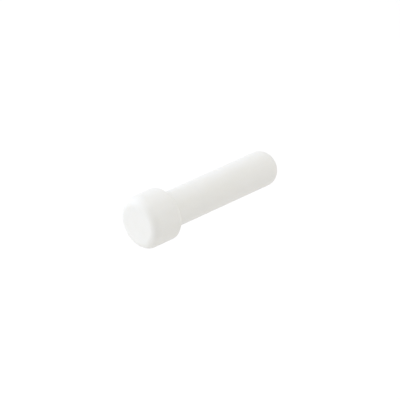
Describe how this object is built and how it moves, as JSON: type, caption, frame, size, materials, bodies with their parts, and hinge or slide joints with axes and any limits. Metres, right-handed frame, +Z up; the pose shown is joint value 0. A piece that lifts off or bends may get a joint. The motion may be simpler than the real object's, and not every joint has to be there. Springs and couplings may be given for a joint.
{
  "type": "wall anchor",
  "caption": "Capped nylon expansion anchor: smooth round cap over a hex bolt, plain split sleeve with a rounded tail that a wedge nut opens inside the wall.",
  "frame": {"origin": "centre of the collar's back face, on the anchor's axis, which is where the anchor meets the wall", "axes": "+Y along the anchor's axis from the cap to the tail, into the wall; +Z up; +X to the right of someone facing the wall"},
  "size_m": [0.0148, 0.05, 0.0148],
  "materials": {
    "white_nylon": "satin injection-moulded nylon, warm white",
    "zinc_plated_steel": "bright zinc plate, faintly blue",
    "spring_steel": "dull zinc-plated spring steel",
    "cast_zinc": "as-cast zinc alloy, matt grey"
  },
  "bodies": {
    "sleeve": {"anchor_sleeve": "white_nylon", "flat_washer": "zinc_plated_steel", "spring_washer": "spring_steel"},
    "cap": {"cover_cap": "white_nylon"},
    "bolt": {"hex_bolt": "zinc_plated_steel"},
    "nut": {"wedge_nut": "cast_zinc"},
    "upper_leg": {"leg_upper": "white_nylon"},
    "lower_leg": {"leg_lower": "white_nylon"}
  },
  "joints": [
    {"name": "cap_pull", "type": "slide", "parent": "sleeve", "child": "cap", "axis": [0, -1, 0], "range_m": [0, 0.012]},
    {"name": "bolt_turn", "type": "hinge", "parent": "sleeve", "child": "bolt", "pos_m": [0, 0, 0], "axis": [0, 1, 0], "range_deg": [0, 2160]},
    {"name": "nut_draw", "type": "slide", "parent": "sleeve", "child": "nut", "axis": [0, -1, 0], "range_m": [0, 0.0048]},
    {"name": "upper_leg_open", "type": "hinge", "parent": "sleeve", "child": "upper_leg", "pos_m": [0.00347, 0.013, 0.00271], "axis": [0.6157, 0, -0.788], "range_deg": [0, 4]},
    {"name": "lower_leg_open", "type": "hinge", "parent": "sleeve", "child": "lower_leg", "pos_m": [-0.00347, 0.013, -0.00271], "axis": [-0.6157, 0, 0.788], "range_deg": [0, 4]}
  ],
  "couplings": [
    {"joint": "bolt_turn", "follows": "nut_draw", "rad_per_m": 7854},
    {"joint": "upper_leg_open", "follows": "nut_draw", "rad_per_m": 14.544},
    {"joint": "lower_leg_open", "follows": "nut_draw", "rad_per_m": 14.544}
  ]
}
